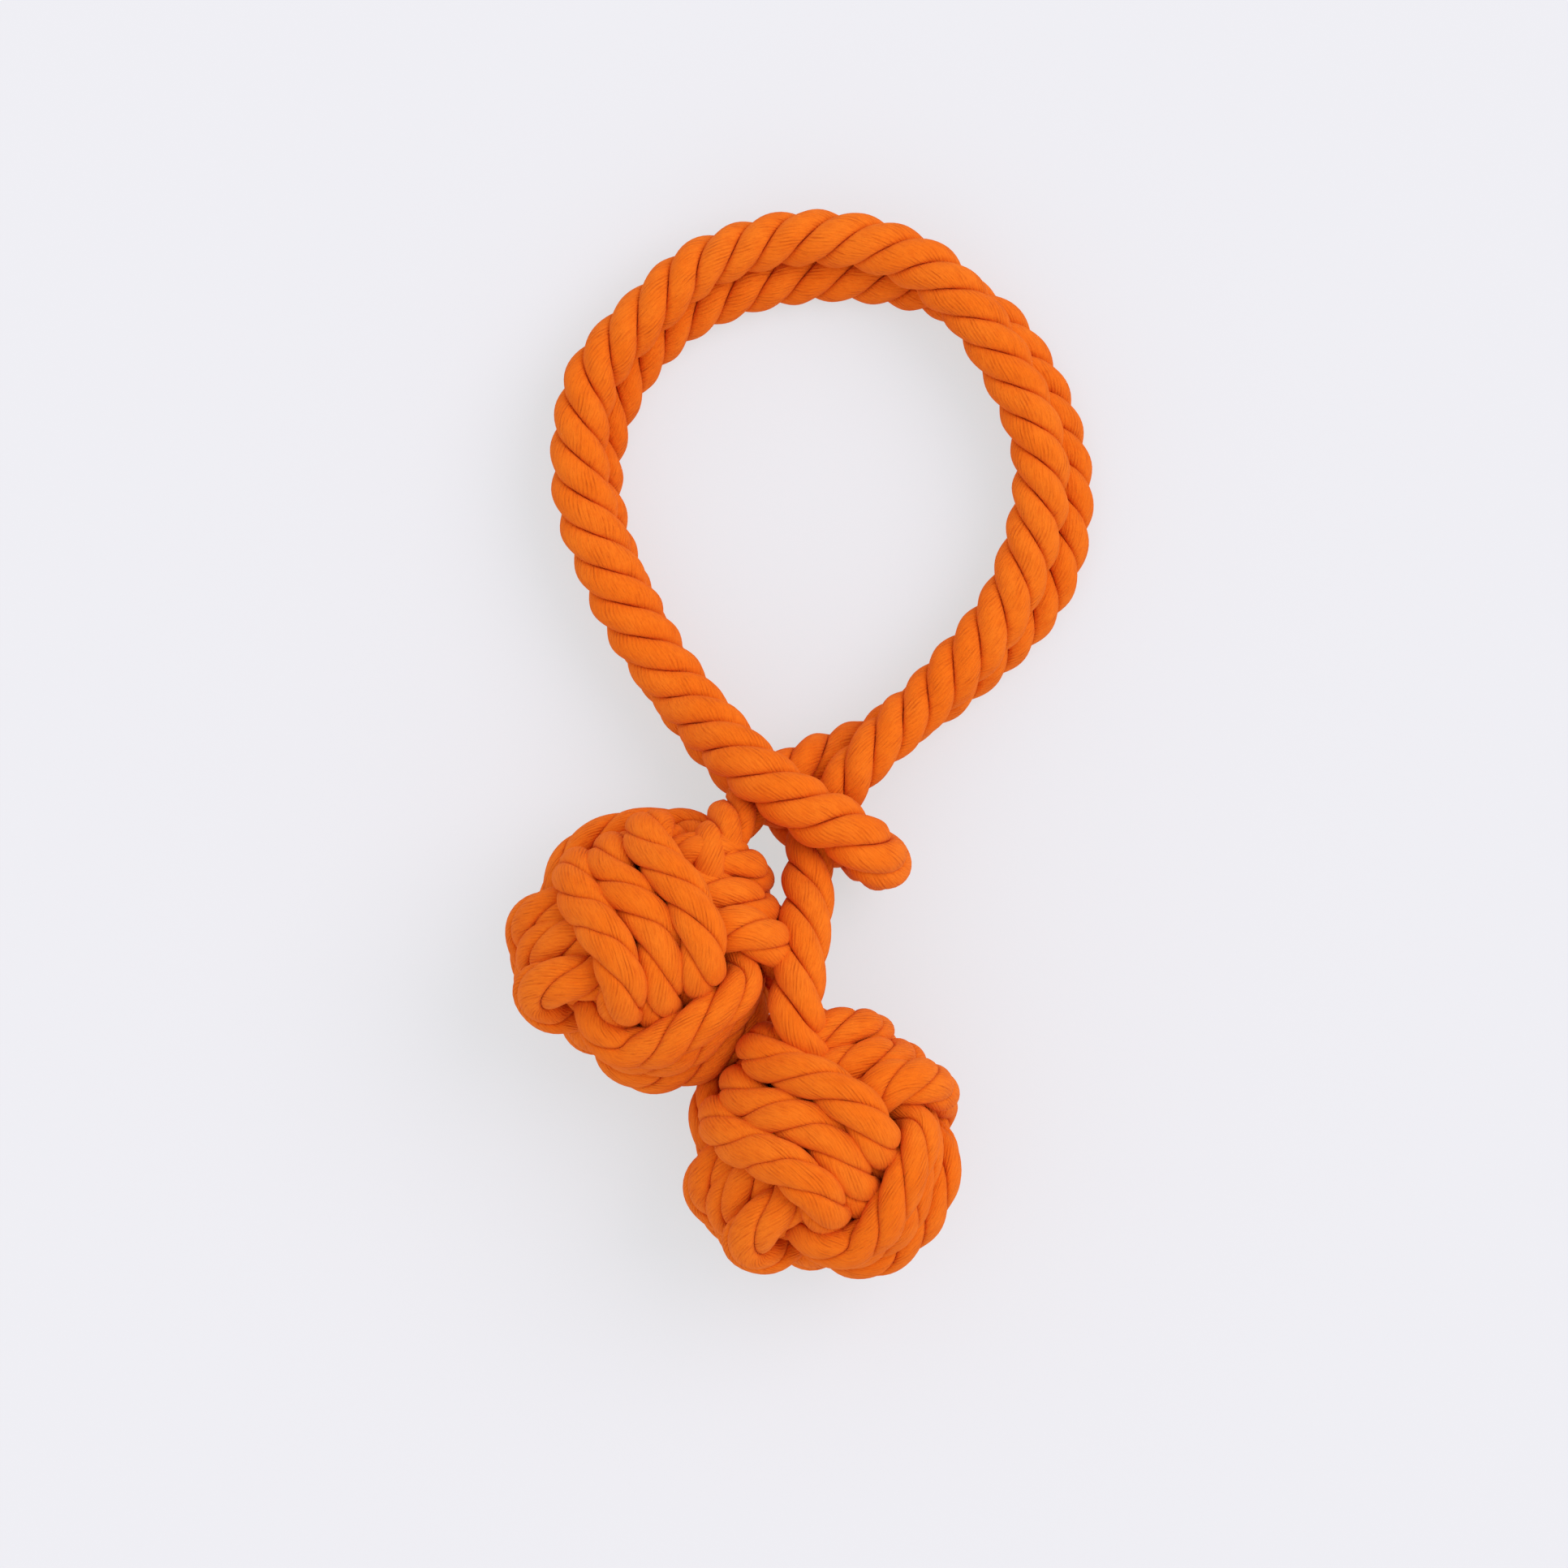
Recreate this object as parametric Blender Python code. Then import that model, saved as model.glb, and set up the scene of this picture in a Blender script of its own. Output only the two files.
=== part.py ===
"""Rope throw toy: one laid rope folded in half, with a hand loop, a running eye and two monkey's fists.

The object lies flat on its back. The origin is at the centre of its bounding box, on the surface it lies on.
+Y runs from the fists to the top of the hand loop, +Z away from the surface. Values are in millimetres;
MM turns them into Blender's metres.
"""
from math import cos, pi, radians, sin

import bpy
import numpy as np
from mathutils import Vector

MM = 0.001
CUT_GAP = 0.7            # between two stretches of the rope, so that their ends clear each other where it bends

# The rope.
ROPE_RADIUS = 6.15       # a little under the laid rope's 6.5, so that neighbours never overlap
ROPE_STEP = 11.0         # between the points of a tube
END_STEP = 1.0           # from a tube's end to its next point, which sets the way its end faces

# The fists.
FIST_TURNS = 3           # turns in each of a fist's three bands
TURN_PITCH = 9.9         # between neighbouring turns of a band
TURN_POINTS = 28         # round one turn
TURN_SIDES = 8
TURN_HALF_WIDTH = 4.4    # a turn is pulled flat against the one beneath it
TURN_HALF_DEPTH = 3.9
MIDDLE_INNER = (21.9, -1.4)         # harmonics 1 and 3 of the middle turn, where it dives under a band
MIDDLE_OUTER = (28.7, -0.6)         # and where it rides over a band
EDGE_INNER = (20.75, -4.65, -1.5)   # harmonics 1, 3 and 5 of the two edge turns
EDGE_OUTER = (29.2, -0.2, -0.8)
CORE_RADIUS = 13.0
FLATTENED = 0.6          # how much of the lowest turns the surface presses flat
FIST_CENTRE_Z = 32.0
SWIRL = 20.0             # degrees by which each face's turns are pulled round its middle
SWIRL_STEPS = 12
FISTS = (                # name, centre X, centre Y, heading and lift of its lengthwise axis in degrees
    ("left_fist", -37.5, -48.6, -72.0, 28.0),
    ("right_fist", 6.2, -98.6, -41.0, 28.0),
)
BANDS = (                # name, then the fist axis where it is inner, where it is outer, and across it
    ("lengthwise", 0, 2, 1),
    ("girth", 1, 0, 2),
    ("crosswise", 2, 1, 0),
)

# Centre line of the half of the rope that runs from the right fist, up the right leg, over the right side of
# the loop, round its top, down its left side and over the eye, ending halfway round the bight.
UPPER_ROUTE = (
    (2.0, -67.6, 54.6), (1.7, -61.8, 52.8), (1.7, -55.2, 49.2), (1.9, -48.0, 43.4),
    (2.3, -39.9, 37.0), (2.3, -31.9, 30.8), (2.9, -24.4, 25.5), (6.1, -16.2, 22.9),
    (12.3, -7.6, 24.6), (18.1, -0.8, 24.2), (25.1, 6.0, 21.4), (31.3, 11.6, 19.4),
    (38.9, 19.6, 19.1), (45.9, 27.6, 18.7), (51.9, 36.6, 18.0), (56.3, 47.6, 16.9),
    (59.1, 58.2, 17.4), (59.9, 68.6, 18.3), (57.9, 79.6, 18.8), (53.7, 89.6, 18.9),
    (48.9, 98.6, 19.1), (43.3, 107.0, 19.3), (36.9, 114.2, 19.2), (28.9, 120.2, 18.4),
    (17.3, 124.6, 17.2), (7.3, 126.0, 16.4), (-2.7, 126.0, 15.8), (-10.7, 124.4, 15.9),
    (-17.7, 122.0, 16.2), (-24.3, 119.2, 16.4), (-29.9, 114.8, 16.9), (-36.7, 108.4, 17.5),
    (-44.2, 100.6, 17.6), (-50.1, 92.6, 17.7), (-52.9, 83.6, 18.2), (-53.9, 74.6, 18.7),
    (-53.3, 64.6, 19.0), (-50.7, 54.6, 19.2), (-46.7, 44.6, 19.3), (-41.7, 34.2, 19.3),
    (-35.7, 24.0, 19.3), (-28.7, 14.0, 19.8), (-20.9, 4.8, 26.0), (-12.5, -3.8, 33.5),
    (-3.7, -10.8, 36.6), (3.9, -16.0, 36.8), (10.8, -19.4, 36.2), (15.8, -23.4, 34.0),
    (19.5, -26.7, 29.4), (20.8, -27.9, 23.0),
)
# The other half: back under the eye, up the left side below the first, round the top, down the right side
# outside it, and through the eye to the left fist.
LOWER_ROUTE = (
    (20.8, -27.9, 23.0), (19.5, -27.2, 16.6), (15.8, -25.2, 11.8), (10.1, -22.4, 9.8),
    (2.9, -19.0, 9.6), (-4.3, -13.8, 9.4), (-13.1, -6.0, 7.6), (-21.9, 3.8, 6.3),
    (-29.1, 13.2, 6.2), (-35.5, 23.4, 6.2), (-40.9, 33.6, 6.2), (-45.3, 44.2, 6.2),
    (-48.5, 54.4, 6.2), (-50.3, 64.6, 6.2), (-49.9, 73.4, 6.2), (-47.7, 82.2, 6.2),
    (-43.5, 91.4, 6.2), (-37.9, 99.2, 6.2), (-30.5, 106.2, 6.2), (-23.1, 110.6, 6.2),
    (-14.7, 114.0, 6.2), (-5.5, 116.4, 6.2), (3.7, 117.6, 6.2), (13.7, 117.6, 6.2),
    (23.3, 116.6, 6.2), (33.0, 114.6, 6.2), (41.7, 110.3, 6.2), (49.5, 104.1, 6.2),
    (55.7, 95.9, 6.2), (60.6, 86.6, 6.2), (64.1, 76.4, 6.2), (66.0, 66.7, 6.2),
    (65.9, 57.6, 6.2), (64.3, 47.4, 6.2), (60.3, 38.4, 6.2), (54.5, 30.6, 6.2),
    (45.9, 22.0, 6.2), (36.5, 14.4, 6.2), (27.3, 7.8, 6.6), (18.3, 2.2, 8.2),
    (9.3, -1.2, 12.6), (0.1, -4.8, 18.6), (-7.7, -9.8, 22.8), (-12.3, -13.5, 24.0),
    (-16.3, -16.6, 31.5), (-18.3, -15.6, 45.0), (-21.1, -17.0, 52.8), (-24.3, -18.9, 56.6),
)
# Where the two halves are divided, in the order in which each route passes them.
UPPER_CUTS = (
    (1.9, -44.4, 40.3),     # the right leg's bend beside its fist
    (4.1, -20.9, 24.0),     # the right leg's swing at the eye
    (59.8, 66.6, 18.1),     # the loop's fold, right side
    (-53.5, 66.6, 19.0),    # the loop's fold, left side
    (-20.9, 4.8, 26.0),     # start of the eye
)
LOWER_CUTS = (
    (-17.5, -1.1, 6.9),     # end of the eye
    (-50.2, 66.6, 6.2),     # the loop's fold, left side
    (65.5, 66.6, 6.2),      # the loop's fold, right side
    (-6.5, -9.1, 22.2),    # the left leg's swing at the eye
    (-15.5, -16.5, 30.0),   # the left leg's bend beside its fist
)
UPPER_NAMES = ("right_fist_neck", "right_leg_rope", "right_side_upper_rope", "top_arc_upper_rope",
               "left_side_upper_rope", "eye_bight")
LOWER_NAMES = ("left_side_lower_rope", "top_arc_lower_rope", "right_side_lower_rope", "left_leg_rope",
               "left_fist_neck")

ORANGE = (0.80, 0.13, 0.012)


def clear_scene():
    for obj in list(bpy.data.objects):
        bpy.data.objects.remove(obj, do_unlink=True)


def cotton(name, colour):
    """Matt dyed cotton."""
    material = bpy.data.materials.new(name)
    material.use_nodes = True
    shader = material.node_tree.nodes["Principled BSDF"]
    shader.inputs["Base Color"].default_value = (*colour, 1.0)
    shader.inputs["Roughness"].default_value = 0.9
    shader.inputs["Metallic"].default_value = 0.0
    material.diffuse_color = (*colour, 1.0)
    return material


def smooth_line(points, per_span=16):
    """A Catmull-Rom curve through the points, as a close row of points."""
    p = np.array(points, float)
    p = np.vstack([2 * p[0] - p[1], p, 2 * p[-1] - p[-2]])
    t = np.arange(per_span)[:, None] / per_span
    spans = []
    for a, b, c, d in zip(p[:-3], p[1:-2], p[2:-1], p[3:]):
        cubic = -a + 3 * b - 3 * c + d
        square = 2 * a - 5 * b + 4 * c - d
        spans.append(0.5 * (2 * b + (c - a) * t + square * t**2 + cubic * t**3))
    return np.vstack([*spans, p[-2:-1]])


def distances_along(line):
    return np.concatenate([[0.0], np.cumsum(np.linalg.norm(np.diff(line, axis=0), axis=1))])


def stretch_of(line, start, end):
    """Evenly spaced points on the line between two distances along it."""
    along = distances_along(line)
    count = max(3, int(round((end - start) / ROPE_STEP)) + 1)
    wanted = np.linspace(start, end, count)
    wanted = np.concatenate([[start, start + END_STEP], wanted[1:-1], [end - END_STEP, end]])
    return np.stack([np.interp(wanted, along, line[:, axis]) for axis in range(3)], axis=1)


def stretches(line, cuts):
    """The line divided at the points of it nearest to the cuts, with a gap at each."""
    along = distances_along(line)
    at = [along[np.argmin(np.linalg.norm(line - np.array(cut), axis=1))] for cut in cuts]
    starts = [along[0], *(a + CUT_GAP / 2 for a in at)]
    ends = [*(a - CUT_GAP / 2 for a in at), along[-1]]
    return [stretch_of(line, start, end) for start, end in zip(starts, ends)]


def rope_tube(name, points, material):
    """A round tube along the points, with filled ends."""
    curve = bpy.data.curves.new(name, "CURVE")
    curve.dimensions = "3D"
    curve.twist_mode = "Z_UP"
    curve.bevel_depth = ROPE_RADIUS * MM
    curve.bevel_resolution = 4
    curve.use_fill_caps = True
    spline = curve.splines.new("POLY")
    spline.points.add(len(points) - 1)
    for spot, point in zip(spline.points, points):
        spot.co = (*(point * MM), 1.0)
    curve.materials.append(material)
    obj = bpy.data.objects.new(name, curve)
    bpy.context.scene.collection.objects.link(obj)
    return obj


def turn_line(number, inner, outer, across):
    """Centre line of one closed turn of a band, about the fist's centre."""
    offset = number - (FIST_TURNS - 1) / 2
    in_waves, out_waves = (EDGE_INNER, EDGE_OUTER) if offset else (MIDDLE_INNER, MIDDLE_OUTER)
    angle = 2 * pi * np.arange(TURN_POINTS) / TURN_POINTS
    line = np.zeros((TURN_POINTS, 3))
    line[:, inner] = sum(size * np.cos((2 * k + 1) * angle) for k, size in enumerate(in_waves))
    line[:, outer] = sum(size * np.sin((2 * k + 1) * angle) for k, size in enumerate(out_waves))
    line[:, across] = offset * TURN_PITCH
    return line


def swirled(line, degrees):
    """The line turned about the fist's centre, one way on each face and the other way at the corners."""
    reach = np.linalg.norm(line, axis=1)[:, None]
    way = line / reach
    for _ in range(SWIRL_STEPS):
        way = way + radians(degrees) / SWIRL_STEPS * np.cross(way**3, way)
        way /= np.linalg.norm(way, axis=1)[:, None]
    return way * reach


def fist_frame(heading, lift):
    """Rows: the fist's lengthwise axis, the axis across it and the axis up through its upper face."""
    turn, rise = radians(heading), radians(lift)
    ahead = np.array([cos(turn) * cos(rise), sin(turn) * cos(rise), sin(rise)])
    beside = np.array([-sin(turn), cos(turn), 0.0])
    return np.array([ahead, beside, np.cross(ahead, beside)])


def flat_section(line):
    """Rings of an oval section round a closed line, its flat side facing the fist's centre."""
    tangent = np.roll(line, -1, axis=0) - np.roll(line, 1, axis=0)
    tangent /= np.linalg.norm(tangent, axis=1)[:, None]
    side = np.cross(tangent, line)
    side /= np.linalg.norm(side, axis=1)[:, None]
    out = np.cross(side, tangent)
    angle = 2 * pi * (np.arange(TURN_SIDES) + 0.5) / TURN_SIDES
    across = np.cos(angle)[None, :, None] * TURN_HALF_WIDTH * side[:, None, :]
    outwards = np.sin(angle)[None, :, None] * TURN_HALF_DEPTH * out[:, None, :]
    return line[:, None, :] + across + outwards


def ring_mesh(name, rings, material):
    """A closed ring of quads from rows of points, its faces pointing out."""
    rows, sides, _ = rings.shape
    corners = [(r, s, (r + 1) % rows, (s + 1) % sides) for r in range(rows) for s in range(sides)]
    faces = [(r * sides + s, r * sides + s2, r2 * sides + s2, r2 * sides + s) for r, s, r2, s2 in corners]
    mesh = bpy.data.meshes.new(name)
    mesh.from_pydata([Vector(p) * MM for p in rings.reshape(-1, 3)], [], faces)
    if signed_volume(mesh) < 0:
        mesh.flip_normals()
    mesh.shade_smooth()
    mesh.materials.append(material)
    obj = bpy.data.objects.new(name, mesh)
    bpy.context.scene.collection.objects.link(obj)
    return obj


def signed_volume(mesh):
    mesh.calc_loop_triangles()
    spots = [v.co for v in mesh.vertices]
    return sum(spots[a].dot(spots[b].cross(spots[c])) for a, b, c in (t.vertices for t in mesh.loop_triangles))


def fist(name, x, y, heading, lift, material, core_material):
    """Three bands of turns round a core, each band over one neighbour and under the other."""
    frame = fist_frame(heading, lift)
    centre = np.array([x, y, FIST_CENTRE_Z])
    for band, inner, outer, across in BANDS:
        for number in range(FIST_TURNS):
            line = swirled(turn_line(number, inner, outer, across), SWIRL)
            rings = flat_section(line) @ frame + centre
            low = rings[..., 2] < FLATTENED
            rings[..., 2] = np.where(low, 0.0, rings[..., 2])
            ring_mesh(f"{name}_{band}_turn_{number + 1}", rings, material)
    bpy.ops.mesh.primitive_uv_sphere_add(segments=16, ring_count=10, radius=CORE_RADIUS * MM, location=centre * MM)
    core = bpy.context.object
    core.name = f"{name}_core"
    core.data.shade_smooth()
    core.data.materials.append(core_material)


def rope(material):
    """The two halves of the rope, divided into named stretches. The bight is shared: it ends the first half
    and starts the second."""
    upper = stretches(smooth_line(UPPER_ROUTE), UPPER_CUTS)
    lower = stretches(smooth_line(LOWER_ROUTE), LOWER_CUTS)
    bight = np.vstack([upper.pop(), lower.pop(0)[1:]])
    for name, points in zip(UPPER_NAMES, [*upper, bight]):
        rope_tube(name, points, material)
    for name, points in zip(LOWER_NAMES, lower):
        rope_tube(name, points, material)


def main():
    clear_scene()
    cotton_rope = cotton("orange_cotton_rope", ORANGE)
    core_cotton = cotton("core_cotton", ORANGE)
    rope(cotton_rope)
    for name, x, y, heading, lift in FISTS:
        fist(name, x, y, heading, lift, cotton_rope, core_cotton)


main()
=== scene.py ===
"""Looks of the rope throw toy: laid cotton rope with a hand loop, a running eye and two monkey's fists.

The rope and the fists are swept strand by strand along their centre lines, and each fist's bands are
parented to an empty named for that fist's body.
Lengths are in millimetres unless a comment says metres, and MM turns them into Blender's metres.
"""
from math import cos, pi, radians, sin

import bpy
import numpy as np
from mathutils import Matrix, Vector


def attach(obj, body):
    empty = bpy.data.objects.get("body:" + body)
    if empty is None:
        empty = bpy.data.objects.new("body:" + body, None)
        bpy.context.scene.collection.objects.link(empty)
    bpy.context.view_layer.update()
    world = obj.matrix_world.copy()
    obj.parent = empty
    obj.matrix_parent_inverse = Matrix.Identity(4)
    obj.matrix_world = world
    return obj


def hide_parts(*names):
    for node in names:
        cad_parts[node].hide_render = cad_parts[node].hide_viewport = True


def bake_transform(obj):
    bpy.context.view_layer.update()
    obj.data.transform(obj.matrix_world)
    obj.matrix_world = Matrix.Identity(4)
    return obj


MM = 0.001
NO_ZERO = 1e-9                        # keeps a division from failing

# Camera and stage.
FRAME_SIDE = 386.4                    # of the square that the camera sees at REFERENCE_Z
FRAME_CENTRE = (-3.5, -8.6)
REFERENCE_Z = 20.0
CAMERA_HEIGHT = 2500.0
SENSOR = 36.0
CAMERA_CLIP = 100.0                   # in metres
FLOOR_SIDE = 6000.0
FLOOR_COLOUR = (0.34, 0.265, 0.306, 1)
FLOOR_GLOW = (0.481, 0.563, 0.561, 1)
SKY_STRENGTH = 0.895
SUN_STRENGTH = 1.0
SUN_WIDTH = radians(45)
SUN_FROM = (0.75, 0.35, 1.0)

# Cotton.
PALE_COTTON = (0.90, 0.184, 0.010, 1)
DEEP_COTTON = (0.87, 0.160, 0.006, 1)
# painted shade in the gaps between yarns and in the fibres' hollows
GROOVE_SHADE_COTTON = (0.69, 0.094, 0.003, 1)
# painted shade in the creases where strands meet
CREASE_SHADE_COTTON = (0.72, 0.086, 0.002, 1)
PALE_CORE = (0.56, 0.072, 0.003, 1)
DEEP_CORE = (0.42, 0.045, 0.002, 1)
YARNS = 30                            # round one strand
PATCH_SCALE = (9.0, 110.0)            # of the patches where yarns show, round a strand and along it
FIBRE_SCALE = (75.0, 330.0)
FUZZ_SCALE = 1600.0                   # this one and those below are to the metre
SHADE_SCALE = 70.0
CREASE_SCALE = 95.0
CORE_SCALE = 400.0
PATCH_EDGES = (0.42, 0.68)            # values at which a mask starts and is full
# the next one sets where the painted shade in the fibres' hollows starts and is full
FIBRE_EDGES = (0.56, 0.34)
SHADE_EDGES = (0.35, 0.65)
# where the painted crease shade starts and is full, and the noise values over which it fades out in places
CREASE_EDGES = (0.62, 1.0)
CREASE_BREAKS = (0.34, 0.56)
# how much painted shade the gaps between yarns and the fibres' hollows get
YARN_GAP_SHADE = 0.55
FIBRE_HOLLOW_SHADE = 0.42
YARN_HEIGHT = 0.5                     # heights in the bump, as shares of BUMP_DISTANCE
YARN_LEAST = 0.25                     # of a yarn's height outside the patches
FIBRE_HEIGHT = 1.1
FUZZ_HEIGHT = 0.35
BUMP_DISTANCE = 0.00034               # in metres
ROPE_ROUGHNESS = 0.92
ROPE_SPECULAR = 0.12
SHEEN = 0.05
SHEEN_ROUGHNESS = 0.5
SHEEN_TINT = (1.0, 0.55, 0.3, 1)
CORE_ROUGHNESS = 0.95
CORE_SPECULAR = 0.1

# Rope.
SPAN_POINTS = 16                      # that a smooth line takes from each span of its route
RING_STEP = 1.15
STRANDS = 3
STRAND_REACH = 1.02                   # of a strand's outer face, as a share of the rope's radius
ROPE_OFFSET = 0.36                    # of a strand's middle from the rope's axis, as a share of its radius
FIST_OFFSET = 0.28                    # the same in the fists, where the rope is pulled flat
STRAND_GAP = 0.004                    # half the gap between two strands, as a share of the rope's radius
SHOULDER_SHARPNESS = 12.0             # of the corner between a strand's round face and its flat flanks
OUTER_SIDES = 15                      # points over a strand's outer arc
INNER_SIDES = 4                       # points over the flanks, which its neighbours hide
OUTER_ARC = radians(112)
CREASE_START = radians(62)            # how far round a strand from its outermost point the painted crease shade begins
CREASE_SPAN = radians(44)
TWIST_WANDER = (3, 0.12, 90)          # seed, size and wavelength of the lay's unevenness
DEPTH_WANDER = (40, 0.018, 23)
WIDTH_WANDER = (45, 0.012, 31)
WANDER_WAVES = 4
SHORTEST_WAVE = 0.6                   # these three are shares of the wavelength asked for
WAVE_STEP = 0.35                      # from one wave to the next
WAVE_SPREAD = 0.2                     # at most, at random
CLOSED_WAVES = range(2, 7)            # how many times each of a turn's waves goes round it
SEED_STEP = 11                        # between strands

# The fists.
FIST_TURNS = 3
TURN_POINTS = 40                      # in a turn while it settles
DENSE_POINTS = 512                    # in a turn before it is spaced evenly
START_SQUARENESS = 3.5
START_INNER = 2.1                     # half-sides of a turn before it settles, in turn spacings
START_OUTER = 3.1
TURN_SPACING = 11.0                   # between turns that lie side by side
TURN_SQUASH = 1.36                    # how much wider than deep a turn lies
TURN_HALF_WIDTH = 6.0
TURN_HALF_DEPTH = 4.85
FIST_CORE = 20.4                      # how near the centre a turn's line may come
RELAX_STEPS = 260
PUSH_ROUNDS = 2                       # in each step
PULL = 0.25                           # share of the way to its neighbours' middle that a point goes
PUSH = 0.8                            # share of a gap that is missing which a push makes up
EASE = 0.1                            # how far a line is smoothed in each step
FIST_CENTRE_Z = 32.8
REST_GAP = 0.02                       # under what lies on the floor
FIST_LAY = 36.0                       # length in which a strand goes once round the rope
TURN_WANDER = 0.02                    # unevenness of a whole turn, as a share of its size
STRAND_WANDER = 0.014
BAND_SEED_STEP = 100
TURN_SEED_STEP = 10                   # between the strands of a turn
SWIRL = radians(24)                   # how far each band's middle is turned about its face
SWIRL_STEPS = 12
GIRTH_DROP = 0.11                     # of the girth band below the fist's middle, as a share of the radius
FISTS = (                             # name, centre X and Y, heading and lift of its long axis in degrees
    ("left_fist", -36.4, -48.9, -72.0, 28.0),
    ("right_fist", 5.6, -97.6, -41.0, 28.0),
)
PINCHES = (                           # bearing from the heading, spread in degrees, share of the radius
    (-142, 24, -0.11),
    (-55, 26, -0.13),
    (36, 16, -0.05),
    (76, 26, 0.05),
    (-108, 18, 0.03),
    (-84, 12, 0.09),
    (-66, 8, -0.12),
)
PINCH_REACH = 20.0                    # how far from the middle a pinch has its full size
BANDS = (                             # name, the fist axis where it is inner, where it is outer, across it
    ("lengthwise", 0, 2, 1),
    ("girth", 1, 0, 2),
    ("crosswise", 2, 1, 0),
)

# Centre line of the upper half of the rope, from the right fist to the bight.
UPPER_ROUTE = (
    (0.6, -71.9, 47.0), (-0.4, -64.9, 48.2), (-0.2, -56.4, 45.8), (0.9, -48.0, 41.6),
    (2.0, -39.9, 36.4), (2.3, -31.9, 30.8), (2.9, -24.4, 25.5), (6.1, -16.2, 22.9),
    (12.3, -7.6, 24.6), (18.1, -0.8, 24.2), (25.1, 6.0, 21.4), (31.3, 11.6, 19.4),
    (38.9, 19.6, 19.1), (45.9, 27.6, 18.7), (51.9, 36.6, 18.0), (56.3, 47.6, 16.9),
    (59.1, 58.2, 17.4), (59.9, 68.6, 18.3), (57.9, 79.6, 18.8), (53.7, 89.6, 18.9),
    (48.9, 98.6, 19.1), (43.3, 107.0, 19.3), (36.9, 114.2, 19.2), (28.9, 120.2, 18.4),
    (17.3, 124.6, 17.2), (7.3, 126.0, 16.4), (-2.7, 126.0, 15.8), (-10.7, 124.4, 15.9),
    (-17.7, 122.0, 16.2), (-24.3, 119.2, 16.4), (-29.9, 114.8, 16.9), (-36.7, 108.4, 17.5),
    (-44.2, 100.6, 17.6), (-50.1, 92.6, 17.7), (-52.9, 83.6, 18.2), (-53.9, 74.6, 18.7),
    (-53.3, 64.6, 19.0), (-50.7, 54.6, 19.2), (-46.7, 44.6, 19.3), (-41.7, 34.2, 19.3),
    (-35.7, 24.0, 19.3), (-28.7, 14.0, 19.8), (-20.9, 4.8, 26.0), (-12.5, -3.8, 33.5),
    (-3.7, -10.8, 36.6), (3.9, -16.0, 36.8), (10.8, -19.4, 36.2), (15.8, -23.4, 34.0),
    (19.5, -26.7, 29.4), (20.8, -27.9, 23.0),
)
# The lower half, from the bight to the left fist.
LOWER_ROUTE = (
    (20.8, -27.9, 23.0), (19.5, -27.2, 16.6), (15.8, -25.2, 11.8), (10.1, -22.4, 9.8),
    (2.9, -19.0, 9.6), (-4.3, -13.8, 9.4), (-13.1, -6.0, 7.6), (-21.9, 3.8, 6.3),
    (-29.1, 13.2, 6.2), (-35.5, 23.4, 6.2), (-40.9, 33.6, 6.2), (-45.3, 44.2, 6.2),
    (-48.5, 54.4, 6.2), (-50.3, 64.6, 6.2), (-49.9, 73.4, 6.2), (-47.7, 82.2, 6.2),
    (-43.5, 91.4, 6.2), (-37.9, 99.2, 6.2), (-30.5, 106.2, 6.2), (-23.1, 110.6, 6.2),
    (-14.7, 114.0, 6.2), (-5.5, 116.4, 6.2), (3.7, 117.6, 6.2), (13.7, 117.6, 6.2),
    (23.3, 116.6, 6.2), (33.0, 114.6, 6.2), (41.7, 110.3, 6.2), (49.5, 104.1, 6.2),
    (55.7, 95.9, 6.2), (60.6, 86.6, 6.2), (64.1, 76.4, 6.2), (66.0, 66.7, 6.2),
    (65.9, 57.6, 6.2), (64.3, 47.4, 6.2), (60.3, 38.4, 6.2), (54.5, 30.6, 6.2),
    (45.9, 22.0, 6.2), (36.5, 14.4, 6.2), (27.3, 7.8, 6.6), (18.3, 2.2, 8.2),
    (9.3, -1.2, 12.6), (0.1, -4.8, 18.6), (-7.7, -9.8, 22.8), (-12.3, -13.5, 24.0),
    (-16.0, -17.4, 30.4), (-18.5, -20.9, 37.6), (-20.6, -24.9, 43.4), (-22.7, -29.4, 45.6),
)
# Where the rope goes on into each fist, out of sight, ahead of the first route and after the second.
RIGHT_TAIL = ((4.6, -84.0, 38.0), (2.8, -78.4, 44.0))
LEFT_TAIL = ((-26.2, -34.6, 43.8), (-29.6, -39.8, 39.0))
# Half-thickness of the rope and its lay, at distances along it from the right fist to the left one.
THICKNESS = (
    (0, 6.4), (20, 6.9), (45, 6.8), (70, 6.2), (95, 6.4), (220, 6.6), (340, 6.7), (400, 6.9), (490, 7.2),
    (540, 6.7), (620, 6.5), (860, 6.5), (920, 6.4), (980, 6.2),
)
LAY = ((0, 34), (70, 33), (105, 29), (860, 29), (920, 33), (980, 34))
# How much wider than thick the rope lies, at the same distances.
WIDENED = (
    (0, 1.0), (100, 1.0), (130, 1.12), (180, 1.08), (215, 1.04), (250, 1.08), (300, 1.0), (350, 1.06),
    (395, 1.17), (430, 1.12), (480, 1.04), (500, 1.1), (560, 1.08), (640, 1.06), (740, 1.06),
    (790, 1.1), (880, 1.02), (980, 1.0),
)
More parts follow.
